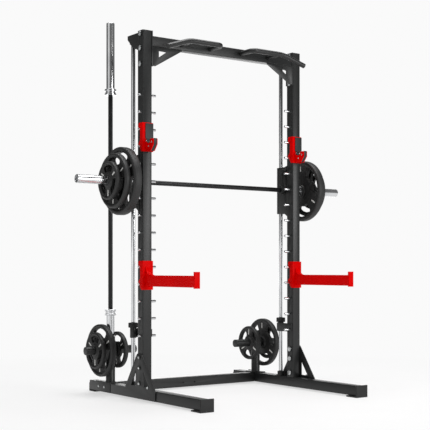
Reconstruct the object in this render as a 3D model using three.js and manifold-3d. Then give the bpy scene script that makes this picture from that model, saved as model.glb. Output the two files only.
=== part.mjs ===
// Smith machine: a bolted tube frame with two guide rods, a bar that runs on them on two carriages,
// J-hooks, spotter arms, safety stops, plate storage and two upright barbell holders.
// Millimetres, +Z up, X across the machine, -Y to the lifter's side (front).
// The origin is on the floor, under the middle of the runners.
import * as THREE from "three";
import { mergeVertices } from "three/addons/utils/BufferGeometryUtils.js";
import Module from "manifold-3d";

const wasm = await Module();
wasm.setup();

// ---- driving dimensions -------------------------------------------------------------------------
const GAP = 0.3; // between pieces that touch
const TUBE = 60; // square frame tube
const WALL = 3;
const HALF = TUBE / 2;
const SIDE_X = 561; // centre of each runner, upright, rod and post
const SIDES = [
  { name: "left", s: -1 },
  { name: "right", s: 1 },
];

const RUN_LENGTH = 1254;
const RUN_END = RUN_LENGTH / 2;
const PAD = 9; // rubber under the runners
const RUN_TOP = PAD + TUBE;
const FRONT_FOOT = { width: 90, length: 92, height: 73, plate: 8 };
const REAR_FOOT = { length: 74, plate: 8, chamfer: 22 };

const UP_Y = 10; // centre of the uprights and of the top beam
const UP_TOP = 2150;
const BEAM_Z = 2091;
const BEAM_PLATE = 6;

const PEG = { count: 15, pitch: 100, lowest: 376, radius: 8, inside: 44, outside: 14, strip: 9 };
const BOLT = { radius: 8, head: 17, thick: 5 };
const BEAM_BOLTS = [1956, 2047, 2132];
const BASE_BOLTS = [100, 190, 251];
const pegZ = (row) => PEG.lowest + PEG.pitch * row;

const ROD_Y = 139;
const ROD_R = 12.5;
const ROD_TOP = 2118;

const REAR_Y = 410; // crossbar, storage posts and stored barbell
const CROSS_HOLE_X = 43;
const CROSS_HOLE_R = 5;

const BAR_Y = 66;
const BAR_Z = 1274;
const BAR_R = 14;
const SLEEVE = { radius: 25, start: 600, flange: 646, shoulder: 657.4, collar: 34, end: 976, socket: 62 };

const CARRIAGE = { radius: 25, bore: 20, half: 150, cheek: 8, front: 44, ear: 20 };
const BUSH = { length: 250, outer: 19.7, inner: 12.8 };
const HOOK = { thick: 10, face: 508, arc: 128, rim: 146, tip: 16, shank: -1, back: -12, hub: 27 };

const BIG_PLATE = { radius: 197, thick: 51 };
const MIDDLE_PLATE = { radius: 160, thick: 38 };
const SMALL_PLATE = { radius: 112, thick: 32 };
const PLATE_GAP = 0.8; // between plates on the same sleeve
const PLATE_HOLE = 25.8;

const POST = { outer: 28.5, inner: 26, top: 350, hornZ: 269, hornEnd: 174, hornR: 24.9 };
const BARBELL = { bottom: 75.4, length: 2195, shaftR: 14, sleeveR: 25, sleeve: 405, collar: 37, collarR: 35 };

const CUP_ROW = 11; // J-hooks hang on this peg row and the next one up
const ARM_ROW = 3; // spotter arms likewise
const STOP_ROW = 0;
const HANGER = { skin: 5, above: 36, below: 32, clear: 0.6, rear: 12, waist: -6.5, web: 5 };
const CUP = { width: 30, skin: 5, mouth: 55, lip: 82, liner: 4.5, pad: [-17, 35] };
const ARM = { width: 35, height: 64, top: 728, tip: -522, plate: 11, plateTop: 749, plateLow: 658 };
const STOP = { low: 358, neck: 418, top: 447, radius: 19, bumper: 29, arm: 6, armTop: 415, armLow: 362 };

const BLACK = { color: 0x303231, roughness: 0.55, metalness: 0.35 };
const RED = { color: 0xc10606, roughness: 0.42, metalness: 0.2 };
const CHROME = { color: 0xc9c9c9, roughness: 0.18, metalness: 1 };
const BAR_BLACK = { color: 0x1d1d1d, roughness: 0.4, metalness: 0.8 };
const RUBBER = { color: 0x1b1b1b, roughness: 0.85, metalness: 0 };
const NYLON = { color: 0x161616, roughness: 0.6, metalness: 0 };

// ---- small tools --------------------------------------------------------------------------------
const group = new THREE.Group();
group.name = "smith_machine";

// A closed three.js geometry as a solid that can be joined and cut.
function solid(geometry) {
  const bare = geometry.clone();
  bare.deleteAttribute("normal");
  bare.deleteAttribute("uv");
  const merged = mergeVertices(bare, 1e-3);
  return new wasm.Manifold(
    new wasm.Mesh({
      numProp: 3,
      vertProperties: merged.attributes.position.array,
      triVerts: new Uint32Array(merged.index.array),
    }),
  );
}

function geometryOf(body) {
  const mesh = body.getMesh();
  const geometry = new THREE.BufferGeometry();
  geometry.setAttribute("position", new THREE.BufferAttribute(new Float32Array(mesh.vertProperties), 3));
  geometry.setIndex(new THREE.BufferAttribute(new Uint32Array(mesh.triVerts), 1));
  const flat = geometry.toNonIndexed();
  flat.computeVertexNormals();
  return flat;
}

function part(name, body, finish) {
  const mesh = new THREE.Mesh(geometryOf(body), new THREE.MeshStandardMaterial(finish));
  mesh.name = name;
  group.add(mesh);
}

const join = (...bodies) => bodies.reduce((all, body) => all.add(body));
const cut = (body, ...tools) => tools.reduce((left, tool) => left.subtract(tool), body);

// A block between two values along each axis, in either order.
function box(xa, xb, ya, yb, za, zb) {
  const geometry = new THREE.BoxGeometry(Math.abs(xb - xa), Math.abs(yb - ya), Math.abs(zb - za));
  geometry.translate((xa + xb) / 2, (ya + yb) / 2, (za + zb) / 2);
  return solid(geometry);
}

// Turns local x, y, z onto the given world axes.
const basis = (...axes) => new THREE.Matrix4().makeBasis(...axes.map((axis) => new THREE.Vector3(...axis)));
const ALONG = {
  x: basis([0, 1, 0], [0, 0, 1], [1, 0, 0]),
  y: basis([0, 0, 1], [1, 0, 0], [0, 1, 0]),
  z: new THREE.Matrix4(),
};

// A profile of [distance along the axis, radius] pairs turned round an axis through the given point.
function turned(axis, at, profile, sides = 20) {
  const outline = profile.map(([along, radius]) => new THREE.Vector2(radius, along));
  const geometry = new THREE.LatheGeometry([...outline, outline[0]], sides);
  geometry.applyMatrix4(basis([1, 0, 0], [0, 0, 1], [0, -1, 0]));
  geometry.applyMatrix4(ALONG[axis]);
  geometry.translate(...at);
  const body = solid(geometry);
  return body.volume() > 0 ? body : solid(flipped(geometry));
}

function flipped(geometry) {
  const copy = geometry.toNonIndexed();
  const values = copy.attributes.position.array;
  for (let i = 0; i < values.length; i += 9) {
    for (let k = 0; k < 3; k++) {
      [values[i + k], values[i + 3 + k]] = [values[i + 3 + k], values[i + k]];
    }
  }
  return copy;
}

const rod = (axis, at, from, to, radius, sides = 20) =>
  turned(axis, at, [[from, 0], [from, radius], [to, radius], [to, 0]], sides);
const ring = (axis, at, from, to, outer, inner, sides = 20) =>
  turned(axis, at, [[from, inner], [from, outer], [to, outer], [to, inner]], sides);

// A flat outline of [y, z] points, standing across X between two X values.
function plateAcrossX(points, xa, xb) {
  const shape = new THREE.Shape(points.map(([y, z]) => new THREE.Vector2(y, z)));
  const geometry = new THREE.ExtrudeGeometry(shape, { depth: Math.abs(xb - xa), bevelEnabled: false });
  geometry.applyMatrix4(ALONG.x);
  geometry.translate(Math.min(xa, xb), 0, 0);
  return solid(geometry);
}

// A flat outline of [x, z] points, standing across Y between two Y values.
function plateAcrossY(points, ya, yb) {
  const shape = new THREE.Shape(points.map(([x, z]) => new THREE.Vector2(x, z)));
  const geometry = new THREE.ExtrudeGeometry(shape, { depth: Math.abs(yb - ya), bevelEnabled: false });
  geometry.applyMatrix4(basis([1, 0, 0], [0, 0, 1], [0, -1, 0]));
  geometry.translate(0, Math.max(ya, yb), 0);
  return solid(geometry);
}

const rad = THREE.MathUtils.degToRad;

// ---- base ---------------------------------------------------------------------------------------
function runner({ name, s }) {
  const x = s * SIDE_X;
  const outer = box(x - HALF, x + HALF, -RUN_END + FRONT_FOOT.plate, RUN_END - REAR_FOOT.plate, PAD + GAP, RUN_TOP);
  const inside = HALF - WALL;
  const hollow = box(x - inside, x + inside, -RUN_END, RUN_END, PAD + GAP + WALL, RUN_TOP - WALL);
  part(`runner_${name}`, cut(outer, hollow), BLACK);
}

function frontFoot({ name, s }) {
  const x = s * SIDE_X;
  const w = FRONT_FOOT.width / 2;
  const pad = box(x - w, x + w, -RUN_END, -RUN_END + FRONT_FOOT.length, 0, PAD);
  const bumper = box(x - w, x + w, -RUN_END, -RUN_END + FRONT_FOOT.plate - GAP, 0, FRONT_FOOT.height);
  part(`foot_front_${name}`, join(pad, bumper), RUBBER);
}

function rearFoot({ name, s }) {
  const x = s * SIDE_X;
  const end = RUN_END;
  const inner = RUN_END - REAR_FOOT.plate + GAP;
  const low = RUN_TOP - REAR_FOOT.chamfer;
  const outline = [
    [end - REAR_FOOT.length, 0],
    [end, 0],
    [end, low],
    [inner, RUN_TOP - REAR_FOOT.plate],
    [inner, PAD],
    [end - REAR_FOOT.length, PAD],
  ];
  part(`foot_rear_${name}`, plateAcrossX(outline, x - HALF, x + HALF), RUBBER);
}

function crossbar() {
  const end = SIDE_X - HALF - GAP;
  const inside = HALF - WALL;
  const middle = PAD + HALF;
  const outer = box(-end, end, REAR_Y - HALF, REAR_Y + HALF, PAD + GAP, RUN_TOP);
  const hollow = box(-end - 1, end + 1, REAR_Y - inside, REAR_Y + inside, PAD + GAP + WALL, RUN_TOP - WALL);
  const holes = [-1, 1].map((s) => rod("y", [s * CROSS_HOLE_X, REAR_Y, middle], -HALF - 1, 0, CROSS_HOLE_R, 12));
  part("rear_crossbar", cut(outer, hollow, ...holes), BLACK);
}

// Outer side plate that ties upright and runner, with a rib each way and a window in each rib.
function basePlate({ name, s }) {
  const face = s * (SIDE_X + HALF + GAP);
  const back = face + s * 5.7;
  const apex = 273;
  const foot = RUN_TOP;
  const front = UP_Y - HALF;
  const rear = UP_Y + HALF;
  const outline = [
    [-162, PAD + 2],
    [344, PAD + 2],
    [344, foot],
    [172, foot],
    [rear + 2, apex - 8],
    [rear - 6, apex],
    [front + 6, apex],
    [front - 2, apex - 8],
    [-162, foot],
  ];
  const windows = [
    [[front - 12, foot + 16], [front - 12, 172], [-94, foot + 16]],
    [[rear + 12, foot + 16], [104, foot + 16], [rear + 12, 172]],
  ];
  const cutters = windows.map((corners) => plateAcrossX(corners, face - s, back + s));
  const bolts = throughBolts(s, BASE_BOLTS, s * (HALF + 3), -s * (HALF + GAP));
  const heads = BASE_BOLTS.map((z) => {
    const far = back + s * BOLT.thick;
    return rod("x", [0, UP_Y, z], Math.min(back - s, far), Math.max(back - s, far), BOLT.head - 4, 12);
  });
  part(`base_plate_${name}`, join(cut(plateAcrossX(outline, face, back), ...cutters), ...bolts, ...heads), BLACK);
}

// ---- uprights, top beam and handles ---------------------------------------------------------------
function upright({ name, s }) {
  const x = s * SIDE_X;
  const inside = HALF - WALL;
  const outer = box(x - HALF, x + HALF, UP_Y - HALF, UP_Y + HALF, RUN_TOP + GAP, UP_TOP);
  const hollow = box(x - inside, x + inside, UP_Y - inside, UP_Y + inside, RUN_TOP, UP_TOP + 1);
  const holes = [];
  for (let row = 0; row < PEG.count; row++) {
    holes.push(rod("x", [x, UP_Y, pegZ(row)], -HALF - 1, HALF + 1, PEG.radius + GAP, 8));
  }
  for (const z of [...BASE_BOLTS, ...BEAM_BOLTS]) {
    holes.push(rod("x", [x, UP_Y, z], -HALF - 1, HALF + 1, BOLT.radius + GAP, 8));
  }
  part(`upright_${name}`, cut(outer, hollow, ...holes), BLACK);
}

// The rack pegs of one upright: bars right through it, held in line by a strip inside the tube.
function pegs({ name, s }) {
  const x = s * SIDE_X;
  const inner = x - s * (HALF + PEG.inside);
  const outer = x + s * (HALF + PEG.outside);
  const from = Math.min(inner, outer);
  const to = Math.max(inner, outer);
  const edge = PEG.radius - 2;
  const bars = [];
  for (let row = 0; row < PEG.count; row++) {
    const profile = [[from, 0], [from, edge], [from + 2, PEG.radius], [to - 2, PEG.radius], [to, edge], [to, 0]];
    bars.push(turned("x", [0, UP_Y, pegZ(row)], profile, 8));
  }
  const t = PEG.strip / 2;
  const strip = box(x - t, x + t, UP_Y - t, UP_Y + t, pegZ(0), pegZ(PEG.count - 1));
  part(`pegs_${name}`, join(strip, ...bars), CHROME);
}

// Bolts right through one upright, from a plate on one face of it to a washer on the other.
function throughBolts(s, heights, fromPlate, toFace) {
  return heights.map((z) => {
    const at = [s * SIDE_X, UP_Y, z];
    const shank = rod("x", at, Math.min(fromPlate, toFace), Math.max(fromPlate, toFace), BOLT.radius, 8);
    const edge = toFace + Math.sign(toFace) * BOLT.thick;
    const head = rod("x", at, Math.min(toFace, edge), Math.max(toFace, edge), BOLT.head, 12);
    return join(shank, head);
  });
}

function topBeam() {
  const end = SIDE_X - HALF - BEAM_PLATE - 2 * GAP;
  const inside = HALF - WALL;
  const outer = box(-end, end, UP_Y - HALF, UP_Y + HALF, BEAM_Z - HALF, BEAM_Z + HALF);
  const hollow = box(-end - 1, end + 1, UP_Y - inside, UP_Y + inside, BEAM_Z - inside, BEAM_Z + inside);
  part("top_beam", cut(outer, hollow), BLACK);
}

// End flange of the top beam and the front gusset under it, with its window.
function beamBracket({ name, s }) {
  const wall = SIDE_X - HALF - GAP;
  const inner = wall - BEAM_PLATE;
  const low = 1942;
  const flange = box(s * wall, s * inner, UP_Y - HALF - 3, UP_Y + HALF + 3, low, UP_TOP);
  const under = BEAM_Z - HALF - GAP;
  const front = UP_Y - HALF;
  const mirror = (points) => points.map(([x, z]) => [s * x, z]);
  const outline = mirror([[inner + 1, low + 4], [inner + 1, under], [322, under], [322, under - 8], [505, low + 4]]);
  const window = mirror([[481, 2037], [430, 2035], [481, 2000]]);
  const web = plateAcrossY(outline, front, front + BEAM_PLATE);
  const opening = plateAcrossY(window, front - 1, front + BEAM_PLATE + 1);
  const bolts = throughBolts(s, BEAM_BOLTS, -s * (HALF + 3), s * (HALF + GAP));
  part(`beam_bracket_${name}`, join(flange, cut(web, opening), ...bolts), BLACK);
}

// Bent pull-up handle: a leg forward from the beam, a level grip and an outer grip that slopes down.
function handle({ name, s }) {
  const face = UP_Y - HALF - GAP;
  const grip = -145;
  const z = BEAM_Z + 2;
  const leg = 115;
  const knee = 348;
  const bend = 36;
  const radius = 15;
  const point = (x, y, height) => new THREE.Vector3(s * x, y, height);
  const end = point(508, grip - 14, z - 54);
  const slope = end.clone().sub(point(knee, grip, z)).normalize();
  const before = point(knee - bend, grip, z);
  const after = point(knee, grip, z).add(slope.clone().multiplyScalar(bend));
  const path = new THREE.CurvePath();
  path.add(new THREE.LineCurve3(point(leg, face, z), point(leg, grip + bend, z)));
  path.add(new THREE.QuadraticBezierCurve3(point(leg, grip + bend, z), point(leg, grip, z), point(leg + bend, grip, z)));
  path.add(new THREE.LineCurve3(point(leg + bend, grip, z), before));
  path.add(new THREE.QuadraticBezierCurve3(before, point(knee, grip, z), after));
  path.add(new THREE.LineCurve3(after, end));
  const section = new THREE.Shape();
  section.absarc(0, 0, radius, 0, 2 * Math.PI, false);
  const tube = solid(new THREE.ExtrudeGeometry(section, { steps: 20, extrudePath: path, curveSegments: 6 }));
  const stub = rod("y", [s * 326, 0, z], grip, face, 13, 12);
  part(`pullup_handle_${name}`, join(tube, stub), BLACK);
}

// ---- guide rods and carriages -----------------------------------------------------------------------
function guideRod({ name, s }) {
  const x = s * SIDE_X;
  part(`guide_rod_${name}`, rod("z", [x, ROD_Y, 0], RUN_TOP + GAP, ROD_TOP, ROD_R), CHROME);
  const foot = [
    [RUN_TOP + GAP, ROD_R + GAP],
    [RUN_TOP + GAP, 29],
    [RUN_TOP + 7, 29],
    [RUN_TOP + 7, 22],
    [RUN_TOP + 29, 22],
    [RUN_TOP + 29, ROD_R + GAP],
  ];
  part(`rod_foot_${name}`, turned("z", [x, ROD_Y, 0], foot), BLACK);
}

// Bracket behind the upright's top: back plate, top plate, two webs and a socket for the rod's end.
function rodBracket({ name, s }) {
  const x = s * SIDE_X;
  const wall = UP_Y + HALF + GAP;
  const end = 162;
  const low = 2040;
  const top = UP_TOP - 8;
  const back = box(x - 25, x + 25, wall, wall + 6, low, top);
  const lid = box(x - 25, x + 25, wall, end, top - 8, top);
  const profile = [[wall, low], [104, 2064], [end, 2120], [end, top], [wall, top]];
  const webs = [-1, 1].map((side) => plateAcrossX(profile, x + side * 25, x + side * 20));
  const boss = rod("z", [x, ROD_Y, 0], ROD_TOP - 26, top - 1, 20.5);
  const socket = rod("z", [x, ROD_Y, 0], ROD_TOP - 30, ROD_TOP + GAP, ROD_R + GAP);
  part(`rod_bracket_${name}`, cut(join(back, lid, ...webs, boss), socket), BLACK);
}

// Carriage: a bearing housing on the rod with two cheeks that carry the bar in front of it.
function carriage({ name, s }) {
  const x = s * SIDE_X;
  const low = BAR_Z - CARRIAGE.half;
  const high = BAR_Z + CARRIAGE.half;
  const housing = rod("z", [x, ROD_Y, 0], low, high, CARRIAGE.radius);
  const profile = [
    [ROD_Y - 12, low],
    [ROD_Y - 12, high],
    [75, high],
    [CARRIAGE.front, high + 8],
    [CARRIAGE.front, low - CARRIAGE.ear],
    [75, low],
  ];
  const outward = CARRIAGE.radius;
  const cheeks = [-1, 1].map((side) => plateAcrossX(profile, x + side * outward, x + side * (outward - CARRIAGE.cheek)));
  const bore = rod("z", [x, ROD_Y, 0], low - 1, high + 1, CARRIAGE.bore);
  const barHole = rod("x", [x, BAR_Y, BAR_Z], -40, 40, BAR_R + GAP);
  const boss = ring("x", [x, BAR_Y, BAR_Z], -outward, outward, BAR_R + 6, BAR_R + GAP);
  part(`carriage_${name}`, cut(join(housing, ...cheeks, boss), bore, barHole), BLACK);
  const half = BUSH.length / 2;
  part(`rod_bush_${name}`, ring("z", [x, ROD_Y, BAR_Z], -half, half, BUSH.outer, BUSH.inner), NYLON);
}

// ---- Smith bar ----------------------------------------------------------------------------------------
function smithBar() {
  const reach = SLEEVE.start + SLEEVE.socket - 2;
  part("smith_shaft", rod("x", [0, BAR_Y, BAR_Z], -reach, reach, BAR_R), BAR_BLACK);
}

function smithSleeve({ name, s }) {
  const profile = [
    [SLEEVE.start, BAR_R + GAP],
    [SLEEVE.start, SLEEVE.radius],
    [SLEEVE.flange, SLEEVE.radius],
    [SLEEVE.flange, SLEEVE.collar],
    [SLEEVE.shoulder, SLEEVE.collar],
    [SLEEVE.shoulder, SLEEVE.radius],
    [SLEEVE.end - 2, SLEEVE.radius],
    [SLEEVE.end, SLEEVE.radius - 2],
    [SLEEVE.end, 0],
    [SLEEVE.start + SLEEVE.socket, 0],
    [SLEEVE.start + SLEEVE.socket, BAR_R + GAP],
  ].map(([along, radius]) => [s * along, radius]);
  part(`smith_sleeve_${name}`, turned("x", [0, BAR_Y, BAR_Z], profile), CHROME);
}

// Rack hook clamped on the bar. Its nose is an arc about the bar's axis, so it swings over a peg freely.
function rackHook({ name, s }) {
  const at = (radius, degrees) => [BAR_Y - radius * Math.sin(rad(degrees)), BAR_Z + radius * Math.cos(rad(degrees))];
  const steps = (from, to, count) => Array.from({ length: count + 1 }, (_, i) => from + ((to - from) * i) / count);
  const outline = [
    ...steps(HOOK.tip, HOOK.shank, 3).map((angle) => at(HOOK.arc, angle)),
    at(HOOK.hub - 4, 30),
    at(HOOK.hub - 4, -40),
    at(HOOK.arc - 10, HOOK.back),
    ...steps(HOOK.back, HOOK.tip, 6).map((angle) => at(HOOK.rim, angle)),
  ];
  const near = s * HOOK.face;
  const far = near + s * HOOK.thick;
  const shank = plateAcrossX(outline, near, far);
  const hub = rod("x", [0, BAR_Y, BAR_Z], Math.min(near - s * 14, far), Math.max(near - s * 14, far), HOOK.hub);
  const hole = rod("x", [0, BAR_Y, BAR_Z], -600, 600, BAR_R + GAP);
  part(`rack_hook_${name}`, cut(join(shank, hub), hole), BLACK);
}

// ---- weight plates ---------------------------------------------------------------------------------------
// A disc round an X axis with a bore, a raised rim and hub, and three curved grip slots between the spokes.
// The first slot points up at 90 degrees, or 60 degrees off that where the plate hangs with a spoke up.
function weightPlate(name, inner, outwards, y, z, size, firstSlot) {
  const { radius, thick } = size;
  const from = Math.min(inner, inner + outwards * thick);
  const to = from + thick;
  const sides = radius > 150 ? 22 : 18;
  const rim = radius - Math.max(18, radius * 0.13);
  const hub = 40;
  const dish = 9;
  const half = [[0, PLATE_HOLE], [0, hub], [dish, hub], [dish, rim], [0, rim], [0, radius - 5], [5, radius]];
  const face = half.map(([along, r]) => [from + along, r]);
  const back = half.map(([along, r]) => [to - along, r]).reverse();
  const disc = turned("x", [0, y, z], [...face, ...back], sides);
  const far = rim - 4;
  const near = Math.max(hub + 5, far - 0.35 * radius);
  const slots = [0, 1, 2].map((i) => {
    const middle = firstSlot + 120 * i;
    const polar = (r, a) => [y + r * Math.cos(rad(a)), z + r * Math.sin(rad(a))];
    const outline = [
      ...[-32, -16, 0, 16, 32].map((a) => polar(far, middle + a)),
      polar(far - 10, middle + 37),
      polar(near + 8, middle + 36),
      ...[29, 0, -29].map((a) => polar(near, middle + a)),
      polar(near + 8, middle - 36),
      polar(far - 10, middle - 37),
    ];
    return plateAcrossX(outline, from - 1, to + 1);
  });
  part(name, cut(disc, ...slots), RUBBER);
}

const firstSlotOf = (s) => (s < 0 ? 90 : 30);

function barPlates({ name, s }) {
  let inner = SLEEVE.shoulder + GAP + 1;
  Object.entries({ large: BIG_PLATE, middle: MIDDLE_PLATE, small: SMALL_PLATE }).forEach(([word, size]) => {
    weightPlate(`bar_plate_${word}_${name}`, s * inner, s, BAR_Y, BAR_Z - 0.6, size, firstSlotOf(s));
    inner += size.thick + PLATE_GAP;
  });
}

function storedPlates({ name, s }) {
  const off = POST.outer + 17;
  const outer = s * (SIDE_X + off);
  const inner = s * (SIDE_X - POST.outer - 6);
  const z = POST.hornZ - 0.6;
  const slot = firstSlotOf(s);
  weightPlate(`stored_plate_large_${name}`, outer, s, REAR_Y, z, MIDDLE_PLATE, slot);
  weightPlate(`stored_plate_inner_${name}`, inner, -s, REAR_Y, z, SMALL_PLATE, slot);
  const next = outer + s * (MIDDLE_PLATE.thick + PLATE_GAP);
  weightPlate(`stored_plate_small_${name}`, next, s, REAR_Y, z, SMALL_PLATE, slot);
}

// ---- storage posts and barbell -------------------------------------------------------------------------------
// A tube that holds a barbell on end, with a horn for plates each way and a plate down the runner's side.
function storagePost({ name, s }) {
  const x = s * SIDE_X;
  const tube = rod("z", [x, REAR_Y, 0], RUN_TOP + GAP, POST.top, POST.outer);
  const horns = rod("x", [x, REAR_Y, POST.hornZ], -POST.hornEnd, POST.hornEnd, POST.hornR);
  const bore = rod("z", [x, REAR_Y, 0], RUN_TOP + 6, POST.top + 1, POST.inner);
  const base = box(x - HALF, x + HALF, REAR_Y - 60, REAR_Y + 70, RUN_TOP + GAP, RUN_TOP + 6);
  const face = s * (SIDE_X + HALF + GAP);
  const side = box(face, face + s * 5.7, REAR_Y - 60, REAR_Y + 120, PAD + 2, RUN_TOP + 6);
  const link = box(x, face + s * 5.7, REAR_Y - 60, REAR_Y + 70, RUN_TOP + GAP, RUN_TOP + 6);
  part(`storage_post_${name}`, cut(join(tube, horns, base, link, side), bore), BLACK);
}

function barbell() {
  const at = [-SIDE_X, REAR_Y, 0];
  const low = BARBELL.bottom;
  const high = low + BARBELL.length;
  const depth = 70;
  const lowCollar = low + BARBELL.sleeve;
  const highCollar = high - BARBELL.sleeve;
  part("barbell_shaft", rod("z", at, lowCollar - depth, highCollar + depth, BARBELL.shaftR), BAR_BLACK);
  const sleeve = (from, collar, way) => {
    const socket = collar - way * (depth + 1);
    const inside = BARBELL.shaftR + GAP;
    return turned("z", at, [
      [from, 0],
      [from, BARBELL.sleeveR - 2],
      [from + way * 2, BARBELL.sleeveR],
      [collar, BARBELL.sleeveR],
      [collar, BARBELL.collarR],
      [collar + way * 12, BARBELL.collarR],
      [collar + way * 12, BARBELL.collarR - 5],
      [collar + way * 25, BARBELL.collarR - 5],
      [collar + way * 25, BARBELL.collarR],
      [collar + way * BARBELL.collar, BARBELL.collarR],
      [collar + way * BARBELL.collar, inside],
      [socket, inside],
      [socket, 0],
    ]);
  };
  part("barbell_sleeve_lower", sleeve(low, lowCollar, 1), CHROME);
  part("barbell_sleeve_upper", sleeve(high, highCollar, -1), CHROME);
}

// ---- J-hooks, spotter arms and stops ------------------------------------------------------------------------------
// A hanger wraps the upright on three sides. Each side plate has two hooked ears that sit on pegs; their
// mouths open down and back at 45 degrees, so the hanger leaves the pegs on one straight up-and-forward line.
function hanger(s, row) {
  const x = s * SIDE_X;
  const low = pegZ(row) - HANGER.below;
  const high = pegZ(row + 1) + HANGER.above;
  const front = UP_Y - HALF - HANGER.clear - HANGER.web;
  const rear = UP_Y + HANGER.rear;
  const waist = UP_Y + HANGER.waist;
  const radius = PEG.radius + HANGER.clear;
  const outline = [[front, low], [waist - 14, low], [waist, low + 14]];
  for (const z of [pegZ(row), pegZ(row + 1)]) {
    const start = Math.atan2(-Math.sqrt(radius * radius - HANGER.waist * HANGER.waist), HANGER.waist);
    for (let i = 0; i <= 8; i++) {
      const angle = start - ((start + 2 * Math.PI - Math.PI / 4) * i) / 8;
      outline.push([UP_Y + radius * Math.cos(angle), z + radius * Math.sin(angle)]);
    }
    outline.push([rear, z + Math.SQRT2 * radius - HANGER.rear]);
    if (z === pegZ(row)) {
      outline.push([rear, z + radius + 8], [waist, z + radius + 26]);
    }
  }
  outline.push([rear, high - 6], [rear - 6, high], [front, high]);
  const near = HALF + HANGER.clear;
  const far = near + HANGER.skin;
  const plates = [-1, 1].map((side) => plateAcrossX(outline, x + side * near, x + side * far));
  const web = box(x - far, x + far, front, front + HANGER.web, low, high);
  return join(web, ...plates);
}

// The outline of a J cup in front of the hanger's web. Back is how far its rear wall stands out from the
// web, up to the height top; with no rear wall the U starts on the web itself.
function cupOutline({ low, top, lipTop, back, mouth, lip, floor }) {
  const face = UP_Y - HALF - HANGER.clear - HANGER.web;
  const y = (forward) => face - forward;
  const start = back > 0 ? -GAP : 0.5;
  const radius = (mouth - back) / 2;
  const points = [[y(-start), low]];
  if (back > 0) {
    points.push([y(-start), top], [y(back), top]);
  }
  for (let i = back > 0 ? 0 : 1; i <= 6; i++) {
    const angle = (Math.PI * i) / 6;
    points.push([y(back + radius - radius * Math.cos(angle)), floor + radius - radius * Math.sin(angle)]);
  }
  if (back === 0) {
    points.splice(1, 0, [y(-start), floor + radius], [y(0.1), floor + radius]);
  }
  points.push([y(mouth), lipTop], [y(lip), lipTop], [y(lip), floor - 8], [y(lip - 30), low]);
  return points;
}

// Both J-hooks are the same part: two steel cup plates, a nylon liner between them that stands a little
// proud of the steel in the cup, and the liner's pad over the web's front on its +X side.
function jHook({ name, s }) {
  const x = s * SIDE_X;
  const low = pegZ(CUP_ROW) - HANGER.below;
  const high = pegZ(CUP_ROW + 1) + HANGER.above;
  const floor = pegZ(CUP_ROW) + 12;
  const lipTop = floor + 24;
  const half = CUP.width / 2;
  const steel = cupOutline({ low, lipTop, back: 0, mouth: CUP.mouth, lip: CUP.lip, floor });
  const plates = [-1, 1].map((side) => plateAcrossX(steel, x + side * half, x + side * (half - CUP.skin)));
  part(`j_hook_${name}`, join(hanger(s, CUP_ROW), ...plates), RED);
  const back = CUP.liner;
  const mouth = CUP.mouth - 4;
  const core = { low: low + 3, top: high - 4, lipTop: lipTop + 2, back, mouth, lip: CUP.lip + 2, floor: floor + 4 };
  const inside = half - CUP.skin - GAP;
  const face = UP_Y - HALF - HANGER.clear - HANGER.web - GAP;
  const [from, to] = CUP.pad;
  const clear = floor + CUP.mouth / 2 + 3;
  const upper = box(x + from, x + to, face, face - back + GAP, clear, high - 4);
  const lower = box(x + half + GAP, x + to, face, face - back + GAP, low + 3, high - 4);
  part(`j_hook_liner_${name}`, join(plateAcrossX(cupOutline(core), x - inside, x + inside), upper, lower), NYLON);
}

function spotterArm({ name, s }) {
  const x = s * SIDE_X;
  const half = ARM.width / 2;
  const face = UP_Y - HALF - HANGER.clear - HANGER.web;
  const low = ARM.top - ARM.height;
  const beam = box(x - half, x + half, ARM.tip, face + 1, low, ARM.top);
  const wedge = [[face + 1, ARM.top - 1], [face - 50, ARM.top - 1]];
  for (let i = 0; i <= 5; i++) {
    const angle = (Math.PI / 2) * (i / 5);
    wedge.push([face + 1 - 50 * (1 - Math.sin(angle)), ARM.top + 0.1 + 70 * (1 - Math.cos(angle))]);
  }
  const rib = plateAcrossX(wedge, x - half, x + half);
  const tip = box(x - half, x + half, ARM.tip - ARM.plate, ARM.tip, ARM.plateLow, ARM.plateTop);
  const hollow = box(x - half + WALL, x + half - WALL, ARM.tip + 1, face - 4, low + WALL, ARM.top - WALL);
  const drain = box(x - 5, x + 5, face - 60, face - 50, low - 1, low + WALL + 1);
  part(`spotter_arm_${name}`, cut(join(hanger(s, ARM_ROW), beam, rib, tip), hollow, drain), RED);
}

// Safety stop: a collar on the rod with an arm that hooks over the lowest peg, and a rubber bumper on top.
function safetyStop({ name, s }) {
  const x = s * SIDE_X;
  const inner = ROD_R + GAP;
  const collar = ring("z", [x, ROD_Y, 0], STOP.low, STOP.neck - GAP, STOP.radius, inner);
  const wall = s * (SIDE_X - HALF - 1);
  const face = wall - s * STOP.arm;
  const top = STOP.armTop;
  const peg = pegZ(STOP_ROW);
  const outline = [
    [ROD_Y - 4, STOP.armLow],
    [ROD_Y - 4, top],
    [-14, top],
    [-14, peg],
    [-9, peg - 7],
    [0, peg - 7],
    [0, peg + 8.6],
    [22, peg + 8.6],
    [22, STOP.armLow],
  ];
  const arm = plateAcrossX(outline, wall, face);
  const lug = box(x, face, ROD_Y - 16, ROD_Y - 4, STOP.armLow, top);
  const bore = rod("z", [x, ROD_Y, 0], STOP.low - 1, STOP.top, inner);
  part(`safety_stop_${name}`, cut(join(collar, arm, lug), bore), BLACK);
  part(`stop_bumper_${name}`, ring("z", [x, ROD_Y, 0], STOP.neck, STOP.top, STOP.bumper, inner), RUBBER);
}

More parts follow.
